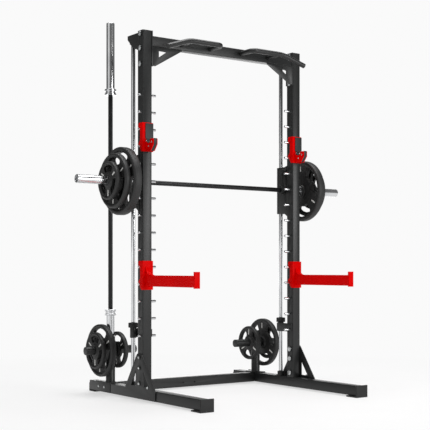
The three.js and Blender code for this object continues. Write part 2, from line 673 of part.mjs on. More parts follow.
// ---- assembly ------------------------------------------------------------------------------------------------------
crossbar();
topBeam();
smithBar();
barbell();
const perSide = [
  runner, frontFoot, rearFoot, basePlate, upright, pegs, beamBracket, handle, guideRod, rodBracket,
  carriage, smithSleeve, rackHook, barPlates, storedPlates, storagePost, jHook, spotterArm, safetyStop,
];
for (const side of SIDES) {
  for (const make of perSide) {
    make(side);
  }
}

export default group;
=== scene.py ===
"""The looks of the Smith machine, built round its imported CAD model."""
import math

import bmesh
import bpy
from mathutils import Matrix, Vector


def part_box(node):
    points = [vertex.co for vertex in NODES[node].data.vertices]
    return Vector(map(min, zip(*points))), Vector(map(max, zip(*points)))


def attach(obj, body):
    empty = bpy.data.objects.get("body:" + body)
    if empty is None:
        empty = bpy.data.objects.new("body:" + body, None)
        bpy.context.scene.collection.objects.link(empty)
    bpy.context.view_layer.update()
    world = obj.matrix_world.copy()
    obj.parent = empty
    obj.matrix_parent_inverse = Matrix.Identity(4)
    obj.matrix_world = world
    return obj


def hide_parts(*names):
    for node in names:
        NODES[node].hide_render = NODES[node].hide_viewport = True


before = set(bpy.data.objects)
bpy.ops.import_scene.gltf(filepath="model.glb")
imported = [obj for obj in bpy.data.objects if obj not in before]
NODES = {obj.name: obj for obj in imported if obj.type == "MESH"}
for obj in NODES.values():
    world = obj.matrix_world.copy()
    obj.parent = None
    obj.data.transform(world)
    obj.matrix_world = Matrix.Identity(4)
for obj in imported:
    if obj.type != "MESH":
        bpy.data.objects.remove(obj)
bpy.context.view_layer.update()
SIDES = ("left", "right")
WAYS = (-1, 1)  # the way out along X on each side
SEED = 7  # for the turns of the pegs and the bolt heads about their own axes
MM = 0.001  # a millimetre, in metres

# ---- sizes that the CAD boxes don't give, in metres ------------------------------------------------
PEG_ROWS = 15
SHAFT_BORE = 14.3 * MM  # in the sleeves, round a 28 mm shaft
SLEEVE_RADIUS = 25 * MM
SMITH_FLANGE = (646 * MM, 657.4 * MM)  # where the smith bar's flange starts and ends, from the middle
SMITH_SOCKET = 662 * MM  # how far in from the middle the shaft's socket ends
BARBELL_SOCKET = 334 * MM  # where the barbell sleeve's socket ends, from the sleeve's free end
BARBELL_SLEEVE = 442 * MM  # length of a barbell sleeve with its collar
BUMPER_BORE = 12.9 * MM

HANDLE_Z = 2.093
HANDLE_GRIP_Y = -0.145
HANDLE_INNER_X = 0.115  # the arm nearer the machine's middle
HANDLE_STUB_X = 0.326
HANDLE_BEND_X = 0.348  # where the grip starts to slope
HANDLE_END = (0.508, 0.014, 0.054)  # the free end: its X, and how far forward and down it drops
HANDLE_RADIUS = 0.015
HANDLE_STUB_RADIUS = 13 * MM
HANDLE_CORNER = 0.036

PLATE_BORE = 25.8 * MM
PLATE_HUB = 40 * MM
PLATE_DISH = 9 * MM  # how deep the web lies under the rim
SMALL_PLATE = 0.13  # plates under this radius carry their marks close to the hub
MARK_SIZE = (1.4 * MM, 36 * MM, 9 * MM)  # along X, outwards along a spoke, and across it
MARK_PAST_HUB = 33 * MM
MARK_SHORT_OF_SLOT = 22 * MM  # from a slot's outer edge, on the larger plates
PLATE_SLOT_ANGLES = (90, 30)  # of the first grip slot on each side, in degrees

BEAM_BOLTS_Z = (1.956, 2.047, 2.132)
BASE_BOLTS_Z = (0.100, 0.190, 0.251)
BIG_HEAD = (15.5 * MM, 5.5 * MM)  # washer radius, and height of the head
FOOT_HEAD = (9 * MM, 4.5 * MM)
SMALL_HEAD = (7.5 * MM, 3.2 * MM)
CUP_HEAD = (5.0 * MM, 2.6 * MM)
BASE_SMALL_BOLT = (-0.078, 0.083)  # Y and Z of the small bolt near the base plate's front end
POST_BOLTS_BACK = (0.035, 0.105)  # the storage post's own bolts, from its rear edge
POST_BOLTS_Z = 0.042
CUP_SCREWS = ((-0.033, 1.505), (-0.057, 1.472), (-0.090, 1.492))  # Y and Z on a J-hook's cheek
CUP_CHEEK = 15.6 * MM  # from the J-hook's middle to the screws' middle

# ---- camera and light ------------------------------------------------------------------------------
CAMERA_PLACE = (-3.714, -5.137, 0.766)
CAMERA_TURN = -35.38  # degrees about Z
FLOOR_NEAR, FLOOR_FAR = 1.0, 3.2  # the floor fades from lit to paper white between these radii
PAPER = 0.956  # radiance of paper white in the picture
AMBIENT = 0.18
OVERHEAD = 345  # powers of the softboxes, in watts
FRONT = 120
LEFT = 55
BEHIND = 115


# ---- small tools ---------------------------------------------------------------------------------
def linear(hex_colour):
    """An sRGB hex colour as linear red, green, blue and alpha."""
    def channel(i):
        v = int(hex_colour[i:i + 2], 16) / 255
        return v / 12.92 if v <= 0.04045 else ((v + 0.055) / 1.055) ** 2.4
    return (channel(1), channel(3), channel(5), 1.0)


def add(tree, kind, links=None, values=None, **settings):
    """Adds a node to a tree: settings are its properties, values its constants, links its inputs."""
    node = tree.nodes.new(kind)
    for key, value in settings.items():
        setattr(node, key, value)
    for key, value in (values or {}).items():
        node.inputs[key].default_value = value
    for key, socket in (links or {}).items():
        tree.links.new(socket, node.inputs[key])
    return node


def new_material(name):
    material = bpy.data.materials.new(name)
    material.use_nodes = True
    material.node_tree.nodes.clear()
    return material, material.node_tree


def surface(tree, shader):
    add(tree, "ShaderNodeOutputMaterial", {"Surface": shader.outputs[0]})


def noise(tree, scale, detail=3.0, rough=0.5, stretch=None):
    """Noise in object space, with scale in cycles per metre and an optional stretch along each axis."""
    where = add(tree, "ShaderNodeTexCoord")
    vector = where.outputs["Object"]
    if stretch:
        vector = add(tree, "ShaderNodeMapping", {"Vector": vector}, {"Scale": stretch}).outputs[0]
    values = {"Scale": scale, "Detail": detail, "Roughness": rough}
    return add(tree, "ShaderNodeTexNoise", {"Vector": vector}, values)


def spread(tree, socket, low, high):
    """Maps 0.3 to 0.7, where noise mostly lies, onto low to high."""
    values = {"From Min": 0.3, "From Max": 0.7, "To Min": low, "To Max": high}
    return add(tree, "ShaderNodeMapRange", {"Value": socket}, values).outputs[0]


def between(tree, factor, dark, light):
    """A colour that goes from dark to light as the factor goes from 0 to 1."""
    mix = add(tree, "ShaderNodeMix", data_type="RGBA")
    mix.inputs[6].default_value = linear(dark)
    mix.inputs[7].default_value = linear(light)
    tree.links.new(factor, mix.inputs[0])
    return mix.outputs[2]


def bumps(tree, height, distance, strength=0.5, under=None):
    links = {"Height": height}
    if under:
        links["Normal"] = under
    return add(tree, "ShaderNodeBump", links, {"Distance": distance, "Strength": strength}).outputs[0]


# ---- materials -----------------------------------------------------------------------------------
def powder_coat(name, dark, light, grain, depth, rough, shine):
    """Powder sprayed on and baked: the melted grains leave a fine orange peel that breaks up highlights."""
    material, tree = new_material(name)
    peel = noise(tree, grain, 4.0, 0.6)
    cloud = noise(tree, 6.0, 3.0)
    colour = between(tree, spread(tree, cloud.outputs[0], 0.0, 1.0), dark, light)
    links = {
        "Base Color": colour,
        "Roughness": spread(tree, peel.outputs[0], rough - 0.06, rough + 0.08),
        "Normal": bumps(tree, peel.outputs[0], depth, 0.6),
    }
    values = {"Specular IOR Level": shine}
    surface(tree, add(tree, "ShaderNodeBsdfPrincipled", links, values))
    return material


def bright_metal(name, dark, light, rough, stretch):
    """Plated and polished metal: faint draw lines along the piece and a little hand haze in the shine."""
    material, tree = new_material(name)
    lines = noise(tree, 260.0, 5.0, 0.7, stretch)
    haze = noise(tree, 9.0, 3.0)
    colour = between(tree, spread(tree, haze.outputs[0], 0.0, 1.0), dark, light)
    links = {
        "Base Color": colour,
        "Roughness": spread(tree, lines.outputs[0], rough * 0.7, rough * 1.5),
        "Normal": bumps(tree, lines.outputs[0], 0.00002, 0.25),
    }
    surface(tree, add(tree, "ShaderNodeBsdfPrincipled", links, {"Metallic": 1.0}))
    return material


def blackened_steel(name):
    """Steel turned, knurled by a diamond roller where hands grip, and blackened in a hot salt bath."""
    material, tree = new_material(name)
    cloud = noise(tree, 14.0, 4.0)
    colour = between(tree, spread(tree, cloud.outputs[0], 0.0, 1.0), "#141415", "#222324")
    grain = noise(tree, 900.0, 3.0)
    normal = bumps(tree, grain.outputs[0], 0.00004, 0.4)
    where = add(tree, "ShaderNodeUVMap", uv_map="turned")
    for turn in (30, -30):
        values = {"Rotation": (0, 0, math.radians(turn))}
        vector = add(tree, "ShaderNodeMapping", {"Vector": where.outputs[0]}, values).outputs[0]
        wave = add(tree, "ShaderNodeTexWave", {"Vector": vector}, {"Scale": 110.0})
        normal = bumps(tree, wave.outputs[1], 0.0002, 0.5, normal)
    links = {
        "Base Color": colour,
        "Roughness": spread(tree, cloud.outputs[0], 0.3, 0.44),
        "Normal": normal,
    }
    surface(tree, add(tree, "ShaderNodeBsdfPrincipled", links, {"Metallic": 0.55}))
    return material


def moulded_rubber(name, dark, light, rough, painted=False):
    """Rubber pressed in a blasted mould: a fine matt grain, with a dusty bloom in broad soft patches.
    Where the attribute paint is 1 the raised marks have been rolled over with white ink."""
    material, tree = new_material(name)
    grain = noise(tree, 700.0, 4.0, 0.65)
    bloom = noise(tree, 11.0, 4.0)
    colour = between(tree, spread(tree, bloom.outputs[0], 0.0, 1.0), dark, light)
    if painted:
        paint = add(tree, "ShaderNodeAttribute", attribute_name="paint")
        ink = add(tree, "ShaderNodeMix", data_type="RGBA")
        tree.links.new(paint.outputs["Fac"], ink.inputs[0])
        tree.links.new(colour, ink.inputs[6])
        ink.inputs[7].default_value = linear("#D9D9D6")
        colour = ink.outputs[2]
    links = {
        "Base Color": colour,
        "Roughness": spread(tree, grain.outputs[0], rough - 0.08, rough + 0.08),
        "Normal": bumps(tree, grain.outputs[0], 0.00012, 0.5),
    }
    surface(tree, add(tree, "ShaderNodeBsdfPrincipled", links))
    return material


MATERIALS = {
    "black_coat": powder_coat(
        "black powder coat, fine texture", "#171818", "#1D1E1E", 620.0, 0.00012, 0.38, 0.45
    ),
    "red_coat": powder_coat("red gloss powder coat", "#D20000", "#E00000", 260.0, 0.00012, 0.4, 0.03),
    "chrome": bright_metal("bright chrome plate", "#C9CACC", "#DEDFE0", 0.14, (1, 1, 0.05)),
    "chrome_bar": bright_metal("turned chrome sleeve", "#C4C5C7", "#DADBDC", 0.16, (1, 0.05, 0.05)),
    "zinc": bright_metal("bright zinc plated fastener", "#B9BCBD", "#D6D8D8", 0.26, (1, 1, 1)),
    "black_bar": blackened_steel("black oxide steel, knurled"),
    "plate_rubber": moulded_rubber("moulded plate rubber, inked marks", "#161616", "#202020", 0.55, True),
    "foot_rubber": moulded_rubber("moulded foot rubber", "#0D0D0D", "#151515", 0.62),
    "nylon": moulded_rubber("machined black nylon", "#17191A", "#212323", 0.5),
}


# ---- mesh tools ----------------------------------------------------------------------------------
def to_object(name, bm, slot, sharp=32):
    """Makes an object of a bmesh, with one material, smooth faces and sharp edges above an angle."""
    bmesh.ops.recalc_face_normals(bm, faces=bm.faces)
    mesh = bpy.data.meshes.new(name)
    bm.to_mesh(mesh)
    bm.free()
    return dressed(name, mesh, slot, sharp)


def dressed(name, mesh, slot, sharp=32):
    mesh.materials.clear()
    mesh.materials.append(MATERIALS[slot])
    mesh.polygons.foreach_set("use_smooth", [True] * len(mesh.polygons))
    mesh.set_sharp_from_angle(angle=math.radians(sharp))
    made = bpy.data.objects.new(name, mesh)
    bpy.context.scene.collection.objects.link(made)
    return made


def settle(piece, body, slot, *nodes):
    """The piece moves with a body and stands for CAD nodes, which are hidden; the slot argument is not used.
    """
    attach(piece, body)
    if nodes:
        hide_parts(*nodes)


TURN = {
    "x": Matrix(((0, 0, 1, 0), (1, 0, 0, 0), (0, 1, 0, 0), (0, 0, 0, 1))),
    "y": Matrix(((0, 1, 0, 0), (0, 0, 1, 0), (1, 0, 0, 0), (0, 0, 0, 1))),
    "z": Matrix.Identity(4),
}


def turned(axis, centre, profile, steps=48):
    """A bmesh turned on an axis from (along, radius) pairs in metres, with a UV map in metres."""
    bm = bmesh.new()
    rings = []
    for along, radius in profile:
        if radius < 1e-7:
            rings.append([bm.verts.new((0, 0, along))])
        else:
            angles = [2 * math.pi * i / steps for i in range(steps)]
            rings.append([bm.verts.new((radius * math.cos(a), radius * math.sin(a), along)) for a in angles])
    hollow = len(rings[0]) > 1 and len(rings[-1]) > 1
    uv = bm.loops.layers.uv.new("turned")
    pairs = list(zip(rings, rings[1:])) + ([(rings[-1], rings[0])] if hollow else [])
    for low, high in pairs:
        for i in range(steps):
            j = (i + 1) % steps
            corners = [low[i % len(low)], low[j % len(low)], high[j % len(high)], high[i % len(high)]]
            unique = list(dict.fromkeys(corners))
            if len(unique) < 3:
                continue
            face = bm.faces.new(unique)
            for loop in face.loops:
                x, y, z = loop.vert.co
                r = math.hypot(x, y)
                angle = math.atan2(y, x)
                if i == steps - 1 and angle < 1e-6:
                    angle += 2 * math.pi
                loop[uv].uv = (angle % (2 * math.pi + 1e-9) * r, z)
    bmesh.ops.transform(bm, matrix=Matrix.Translation(centre) @ TURN[axis], verts=bm.verts)
    return bm


def rounded_rod(low, high, radius, edge):
    """The profile of a solid rod with rounded ends."""
    return [
        (low, 0), (low, radius - edge), (low + edge * 0.3, radius - edge * 0.3), (low + edge, radius),
        (high - edge, radius), (high - edge * 0.3, radius - edge * 0.3), (high, radius - edge), (high, 0),
    ]


def merged(bms):
    """One bmesh that holds the faces of several."""
    whole = bmesh.new()
    for bm in bms:
        mesh = bpy.data.meshes.new("part")
        bm.to_mesh(mesh)
        bm.free()
        whole.from_mesh(mesh)
        bpy.data.meshes.remove(mesh)
    return whole


def softened(node, slot, width=0.8, corner=0.0):
    """A copy of a CAD node with its sharp edges rounded, the long outer corners of a tube by more."""
    bm = bmesh.new()
    bm.from_mesh(NODES[node].data)
    for layer in list(bm.loops.layers.uv):
        bm.loops.layers.uv.remove(layer)
    bmesh.ops.remove_doubles(bm, verts=bm.verts, dist=0.00002)
    bmesh.ops.dissolve_limit(bm, angle_limit=math.radians(0.6), verts=bm.verts, edges=bm.edges)
    low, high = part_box(node)
    if corner:
        def outer(vertex):
            return [min(abs(vertex.co[k] - low[k]), abs(vertex.co[k] - high[k])) < 0.0005 for k in range(3)]
        long_edges = []
        for edge in bm.edges:
            both = [a and b for a, b in zip(*map(outer, edge.verts))]
            if edge.calc_length() > 0.25 and sum(both) >= 2:
                long_edges.append(edge)
        bmesh.ops.bevel(bm, geom=long_edges, offset=corner * MM, segments=4, profile=0.5, affect="EDGES")
    sharp = [e for e in bm.edges if len(e.link_faces) == 2 and e.calc_face_angle(0) > math.radians(40)]
    bmesh.ops.bevel(
        bm, geom=sharp, offset=width * MM, segments=2, profile=0.6, affect="EDGES", clamp_overlap=True
    )
    bmesh.ops.triangulate(bm, faces=[f for f in bm.faces if len(f.verts) > 4])
    return to_object(node + "_look", bm, slot)


# ---- Geometry Nodes --------------------------------------------------------------------------------
def new_tree(name, sockets):
    """A geometry node tree with a geometry input and output and the named inputs that are asked for."""
    tree = bpy.data.node_groups.new(name, "GeometryNodeTree")
    tree.interface.new_socket("Geometry", in_out="OUTPUT", socket_type="NodeSocketGeometry")
    tree.interface.new_socket("Geometry", in_out="INPUT", socket_type="NodeSocketGeometry")
    for socket, kind in sockets.items():
        tree.interface.new_socket(socket, in_out="INPUT", socket_type="NodeSocket" + kind)
    return tree, add(tree, "NodeGroupInput"), add(tree, "NodeGroupOutput")


def repeat_tree():
    """Copies a piece onto points, turned at random about its own axis from a seed, then realizes them."""
    sockets = {"Piece": "Object", "Axis": "Vector", "Finish": "Material", "Seed": "Int"}
    tree, given, result = new_tree("repeat on points", sockets)
    piece = add(tree, "GeometryNodeObjectInfo", {"Object": given.outputs["Piece"]})
    points = add(tree, "GeometryNodeMeshToPoints", {"Mesh": given.outputs["Geometry"]})
    angle = add(tree, "FunctionNodeRandomValue", {"Seed": given.outputs["Seed"]}, {"Max": math.tau})
    turn = add(
        tree, "FunctionNodeAxisAngleToRotation", {"Axis": given.outputs["Axis"], "Angle": angle.outputs[1]}
    )
    links = {
        "Points": points.outputs[0],
        "Instance": piece.outputs["Geometry"],
        "Rotation": turn.outputs[0],
    }
    copies = add(tree, "GeometryNodeInstanceOnPoints", links)
    real = add(tree, "GeometryNodeRealizeInstances", {"Geometry": copies.outputs[0]})
    links = {"Geometry": real.outputs[0], "Material": given.outputs["Finish"]}
    painted = add(tree, "GeometryNodeSetMaterial", links)
    tree.links.new(painted.outputs[0], result.inputs[0])
    return tree


def tube_tree():
    """Sweeps a round tube along a path and closes its ends."""
    tree, given, result = new_tree("tube along a path", {"Radius": "Float", "Finish": "Material"})
    curve = add(tree, "GeometryNodeMeshToCurve", {"Mesh": given.outputs["Geometry"]})
    radius = {"Radius": given.outputs["Radius"]}
    ring = add(tree, "GeometryNodeCurvePrimitiveCircle", radius, {"Resolution": 28})
    links = {"Curve": curve.outputs[0], "Profile Curve": ring.outputs[0]}
    tube = add(tree, "GeometryNodeCurveToMesh", links, {"Fill Caps": True})
    smooth = add(tree, "GeometryNodeSetShadeSmooth", {"Geometry": tube.outputs[0]})
    real = add(tree, "GeometryNodeRealizeInstances", {"Geometry": smooth.outputs[0]})
    links = {"Geometry": real.outputs[0], "Material": given.outputs["Finish"]}
    painted = add(tree, "GeometryNodeSetMaterial", links)
    tree.links.new(painted.outputs[0], result.inputs[0])
    return tree


REPEAT = repeat_tree()
TUBE = tube_tree()


def grown(name, vertices, edges, tree, inputs, slot):
    """Runs a tree on a mesh of points or a path, and keeps the result as a plain mesh."""
    seed_mesh = bpy.data.meshes.new(name + "_seed")
    seed_mesh.from_pydata(vertices, edges, [])
    carrier = bpy.data.objects.new(name + "_seed", seed_mesh)
    bpy.context.scene.collection.objects.link(carrier)
    modifier = carrier.modifiers.new("grow", "NODES")
    modifier.node_group = tree
    for item in tree.interface.items_tree:
        if item.item_type == "SOCKET" and item.in_out == "INPUT" and item.name in inputs:
            modifier[item.identifier] = inputs[item.name]
    bpy.context.view_layer.update()
    graph = bpy.context.evaluated_depsgraph_get()
    mesh = bpy.data.meshes.new_from_object(carrier.evaluated_get(graph))
    carrier.modifiers.clear()
    bpy.data.objects.remove(carrier)
    bpy.data.meshes.remove(seed_mesh)
    return dressed(name, mesh, slot)


def repeated(name, bm, points, axis, slot):
    """Copies of a small piece, modelled at the origin, on points."""
    piece = to_object(name + "_piece", bm, slot)
    inputs = {"Piece": piece, "Axis": axis, "Finish": MATERIALS[slot], "Seed": SEED}
    made = grown(name, points, [], REPEAT, inputs, slot)
    bpy.data.objects.remove(piece)
    return made


# ---- tubes, plates and brackets --------------------------------------------------------------------
def steelwork():
    settle(softened("top_beam", "black_coat", 0.6, 4.5), "frame", "black_coat", "top_beam")
    settle(softened("rear_crossbar", "black_coat", 0.6, 4.5), "frame", "black_coat", "rear_crossbar")
    for side in SIDES:
        for node, width, corner in (
            ("runner", 0.6, 4.5), ("upright", 0.6, 5.0), ("base_plate", 0.9, 0), ("beam_bracket", 0.8, 0),
            ("rod_bracket", 0.8, 0), ("storage_post", 1.0, 0), ("rod_foot", 1.0, 0),
        ):
            name = f"{node}_{side}"
            settle(softened(name, "black_coat", width, corner), "frame", "black_coat", name)
        for node, width in (("foot_front", 3.0), ("foot_rear", 2.5)):
            name = f"{node}_{side}"
            settle(softened(name, "foot_rubber", width), "frame", "foot_rubber", name)
        name = f"carriage_{side}"
        settle(softened(name, "black_coat", 0.9), "carriages", "black_coat", name)
        name = f"rack_hook_{side}"
        settle(softened(name, "black_coat", 1.0), "smith_bar", "black_coat", name)
        name = f"safety_stop_{side}"
        settle(softened(name, "black_coat", 0.8), name, "black_coat", name)
        name = f"j_hook_{side}"
        settle(softened(name, "red_coat", 0.7), name, "red_coat", name)
        liner = f"j_hook_liner_{side}"
        settle(softened(liner, "nylon", 0.8), name, "nylon", liner)
        name = f"spotter_arm_{side}"
        settle(softened(name, "red_coat", 1.2), name, "red_coat", name)


# ---- rods, bars and sleeves ------------------------------------------------------------------------
def middle(node):
    low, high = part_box(node)
    return (low + high) / 2, (high - low) / 2


def rods():
    for side in SIDES:
        name = f"guide_rod_{side}"
        centre, half = middle(name)
        bm = turned("z", centre, rounded_rod(-half.z, half.z, half.x, 1.5 * MM), 56)
        settle(to_object(name + "_look", bm, "chrome"), "frame", "chrome", name)
        name = f"stop_bumper_{side}"
        centre, half = middle(name)
        bore, r, h = BUMPER_BORE, half.x, half.z
        profile = [
            (-h, bore), (-h, r - 3 * MM), (-h + 1 * MM, r - 1 * MM), (-h + 3 * MM, r), (h - 4 * MM, r),
            (h - 1.2 * MM, r - 1.2 * MM), (h, r - 4 * MM), (h, bore),
        ]
        bm = turned("z", centre, profile, 56)
        settle(to_object(name + "_look", bm, "foot_rubber"), f"safety_stop_{side}", "foot_rubber", name)
        slot = NODES[f"rod_bush_{side}"].material_slots[0]
        slot.link = "OBJECT"
        slot.material = MATERIALS["nylon"]


def pegs():
    """A row of domed pegs on each side, from one turned piece."""
    for side in SIDES:
        name = f"pegs_{side}"
        centre, half = middle(name)
        radius = half.y
        bm = turned("x", Vector((0, 0, 0)), rounded_rod(-half.x, half.x, radius, 2.5 * MM), 28)
        low = centre.z - half.z + radius
        pitch = (2 * half.z - 2 * radius) / (PEG_ROWS - 1)
        points = [(centre.x, centre.y, low + pitch * i) for i in range(PEG_ROWS)]
        settle(repeated(name + "_look", bm, points, (1, 0, 0), "chrome"), "frame", "chrome", name)


def smith_bar():
    centre, half = middle("smith_shaft")
    bm = turned("x", centre, rounded_rod(-half.x, half.x, half.z, 1 * MM), 40)
    settle(to_object("smith_shaft_look", bm, "black_bar"), "smith_bar", "black_bar", "smith_shaft")
    for side, way in zip(SIDES, WAYS):
        name = f"smith_sleeve_{side}"
        low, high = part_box(name)
        axis = Vector((0, (low.y + high.y) / 2, (low.z + high.z) / 2))
        inner, outer = sorted((abs(low.x), abs(high.x)))
        flange = (high.z - low.z) / 2
        r, bore = SLEEVE_RADIUS, SHAFT_BORE
        start, stop = SMITH_FLANGE
        profile = [
            (inner, bore), (inner, r - MM), (inner + MM, r), (start, r), (start, flange - MM),
            (start + MM, flange), (stop - MM, flange), (stop, flange - MM), (stop, r),
            (outer - 2 * MM, r), (outer, r - 2 * MM), (outer, r - 8 * MM),
            (outer - 3 * MM, r - 8.6 * MM), (outer - 3 * MM, 9 * MM), (outer - MM, 8 * MM),
            (outer - MM, 0), (SMITH_SOCKET, 0), (SMITH_SOCKET, bore),
        ]
        bm = closed_turn("x", axis, [(way * a, b) for a, b in profile], 56)
        settle(to_object(name + "_look", bm, "chrome_bar"), "smith_bar", "chrome", name)


def closed_turn(axis, centre, profile, steps):
    """Turns a profile that may touch the axis in the middle, as a socket's blind end does."""
    touches = [i for i, (_, r) in enumerate(profile) if r < 1e-7]
    if touches and touches[0] != 0:
        cut = touches[-1]
        profile = profile[cut:] + profile[:cut]
    return turned(axis, centre, profile, steps)


def barbell():
    centre, half = middle("barbell_shaft")
    bm = turned("z", centre, rounded_rod(-half.z, half.z, half.x, MM), 40)
    settle(to_object("barbell_shaft_look", bm, "black_bar"), "barbell", "black_bar", "barbell_shaft")
    for node, way in (("barbell_sleeve_lower", 1), ("barbell_sleeve_upper", -1)):
        low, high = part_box(node)
        axis = Vector(((low.x + high.x) / 2, (low.y + high.y) / 2, 0))
        end = low.z if way > 0 else high.z
        # Distance from the free end, and radius, in millimetres.
        steps = [
            (0, 0), (0, 9), (1.5, 10), (1.5, 17), (0, 18), (0, 23), (2, 25), (405, 25), (405, 34), (406, 35),
            (416, 35), (417, 34), (417, 30), (430, 30), (430, 34), (431, 35), (441, 35), (442, 34),
        ]
        profile = [(end + way * a * MM, b * MM) for a, b in steps]
        profile += [(end + way * BARBELL_SLEEVE, SHAFT_BORE), (end + way * BARBELL_SOCKET, SHAFT_BORE)]
        profile += [(end + way * BARBELL_SOCKET, 0)]
        bm = turned("z", axis, profile, 56)
        settle(to_object(node + "_look", bm, "chrome"), "barbell", "chrome", node)


# ---- pull-up handles ---------------------------------------------------------------------------------
def arc_corner(points, bend, steps=8):
    """A path through points with its inner corners rounded, each corner starting a bend's length before."""
    path = [points[0]]
    for before, here, after in zip(points, points[1:], points[2:]):
        a = here + (before - here).normalized() * bend
        b = here + (after - here).normalized() * bend
        for i in range(steps + 1):
            t = i / steps
            path.append(a * (1 - t) ** 2 + here * 2 * t * (1 - t) + b * t ** 2)
    path.append(points[-1])
    return path


def handles():
    z, grip = HANDLE_Z, HANDLE_GRIP_Y
    end, forward, drop = HANDLE_END
    for side, s in zip(SIDES, WAYS):
        name = f"pullup_handle_{side}"
        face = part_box(name)[1].y
        corners = [
            Vector((s * HANDLE_INNER_X, face, z)), Vector((s * HANDLE_INNER_X, grip, z)),
            Vector((s * HANDLE_BEND_X, grip, z)), Vector((s * end, grip - forward, z - drop)),
        ]
        path = arc_corner(corners, HANDLE_CORNER)
        edges = [(i, i + 1) for i in range(len(path) - 1)]
        inputs = {"Radius": HANDLE_RADIUS, "Finish": MATERIALS["black_coat"]}
        tube = grown(name + "_look", path, edges, TUBE, inputs, "black_coat")
        settle(tube, "frame", "black_coat", name)
        rod = rounded_rod(grip, face, HANDLE_STUB_RADIUS, MM)
        stub = turned("y", Vector((s * HANDLE_STUB_X, 0, z)), rod, 28)
        settle(to_object(name + "_stub", stub, "black_coat"), "frame", "black_coat")


# ---- weight plates -------------------------------------------------------------------------------------
def kidney(y, z, near, far, centre_angle, x0, x1):
    """A curved grip slot with rounded ends, as a solid that runs across X."""
    def polar(r, a):
        angle = math.radians(centre_angle + a)
        return (y + r * math.cos(angle), z + r * math.sin(angle))
    outline = [polar(far, a) for a in range(-31, 32, 4)]
    outline += [polar(far - 3 * MM, 34.5), polar(far - 10 * MM, 36.6), polar(near + 14 * MM, 37)]
    outline += [polar(near + 7 * MM, 35.5), polar(near + 2 * MM, 32)]
    outline += [polar(near, a) for a in range(28, -29, -8)]
    outline += [polar(near + 2 * MM, -32), polar(near + 7 * MM, -35.5)]
    outline += [polar(near + 14 * MM, -37), polar(far - 10 * MM, -36.6), polar(far - 3 * MM, -34.5)]
    bm = bmesh.new()
    near_side = [bm.verts.new((x0, a, b)) for a, b in outline]
    far_side = [bm.verts.new((x1, a, b)) for a, b in outline]
    bm.faces.new(near_side)
    bm.faces.new(list(reversed(far_side)))
    count = len(outline)
    for i in range(count):
        j = (i + 1) % count
        bm.faces.new((near_side[i], near_side[j], far_side[j], far_side[i]))
    bmesh.ops.recalc_face_normals(bm, faces=bm.faces)
    return bm


def weight_plate(node, body, first_slot):
    low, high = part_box(node)
    centre = (low + high) / 2
    radius = (high.z - low.z) / 2
    half = (high.x - low.x) / 2
    rim = radius - max(18 * MM, radius * 0.13)
    far = rim - 4 * MM
    hub = PLATE_HUB
    near = max(hub + 5 * MM, far - 0.35 * radius)
    dish = PLATE_DISH
    bore = PLATE_BORE
    face = [
        (0, bore), (0, hub - 3 * MM), (1.2 * MM, hub - MM),
        (dish - 2 * MM, hub + 2 * MM), (dish, hub + 5 * MM),
        (dish, rim - 5 * MM), (dish - 2 * MM, rim - 1.5 * MM), (4 * MM, rim + 0.5 * MM),
        (1.5 * MM, rim + 3 * MM), (0.2 * MM, rim + 7 * MM), (0.2 * MM, radius - 10 * MM),
        (1.6 * MM, radius - 5.5 * MM), (5 * MM, radius - 1.8 * MM), (9 * MM, radius - 0.3 * MM),
    ]
    front = [(-half + a, r) for a, r in face]
    back = [(half - a, r) for a, r in reversed(face)]
    steps = 96 if radius > 0.15 else 80
    disc = to_object(node + "_look", turned("x", centre, front + back, steps), "plate_rubber", 40)
    x0, x1 = low.x - 2 * MM, high.x + 2 * MM
    slots = merged(
        kidney(centre.y, centre.z, near, far, first_slot + 120 * i, x0, x1) for i in range(3)
    )
    cutter = to_object(node + "_slots", slots, "plate_rubber")
    cut = disc.modifiers.new("slots", "BOOLEAN")
    cut.operation = "DIFFERENCE"
    cut.solver = "EXACT"
    cut.object = cutter
    bpy.context.view_layer.update()
    graph = bpy.context.evaluated_depsgraph_get()
    opened = bpy.data.meshes.new_from_object(disc.evaluated_get(graph))
    disc.modifiers.clear()
    bpy.data.objects.remove(disc)
    bpy.data.objects.remove(cutter)
    bm = bmesh.new()
    bm.from_mesh(opened)
    bpy.data.meshes.remove(opened)
    marks = []
    spoke = hub + MARK_PAST_HUB if radius < SMALL_PLATE else far - MARK_SHORT_OF_SLOT
    for i in range(3):
        angle = first_slot + 60 + 120 * i
        for side in (-1, 1):
            x = centre.x + side * (half - dish + 0.2 * MM)
            marks.append(mark(x, centre, spoke, angle))
    whole = merged([bm] + marks)
    made = to_object(node + "_look", whole, "plate_rubber", 40)
    paint = made.data.attributes.new("paint", "FLOAT", "POINT")
    values = [0.0] * len(made.data.vertices)
    start = len(values) - 8 * len(marks)  # the marks come last, with eight corners each
    for i in range(start, len(values)):
        values[i] = 1.0
    paint.data.foreach_set("value", values)
    settle(made, body, "plate_rubber", node)


def mark(x, centre, reach, angle):
    """A raised bar on a spoke, inked white: a plain stand-in for the weight's number."""
    bm = bmesh.new()
    bmesh.ops.create_cube(bm, size=1)
    scale = Matrix.Diagonal((*MARK_SIZE, 1))
    turn = Matrix.Rotation(math.radians(angle), 4, "X")
    place = Matrix.Translation((x, centre.y, centre.z)) @ turn @ Matrix.Translation((0, reach, 0))
    bmesh.ops.transform(bm, matrix=place @ scale, verts=bm.verts)
    return bm


def plates():
    for side, slot in zip(SIDES, PLATE_SLOT_ANGLES):
        for size in ("large", "middle", "small"):
            weight_plate(f"bar_plate_{size}_{side}", f"bar_plates_{side}", slot)
        weight_plate(f"stored_plate_large_{side}", f"stored_outer_{side}", slot)
        weight_plate(f"stored_plate_inner_{side}", f"stored_inner_{side}", slot)
        weight_plate(f"stored_plate_small_{side}", f"stored_outer_{side}", slot)


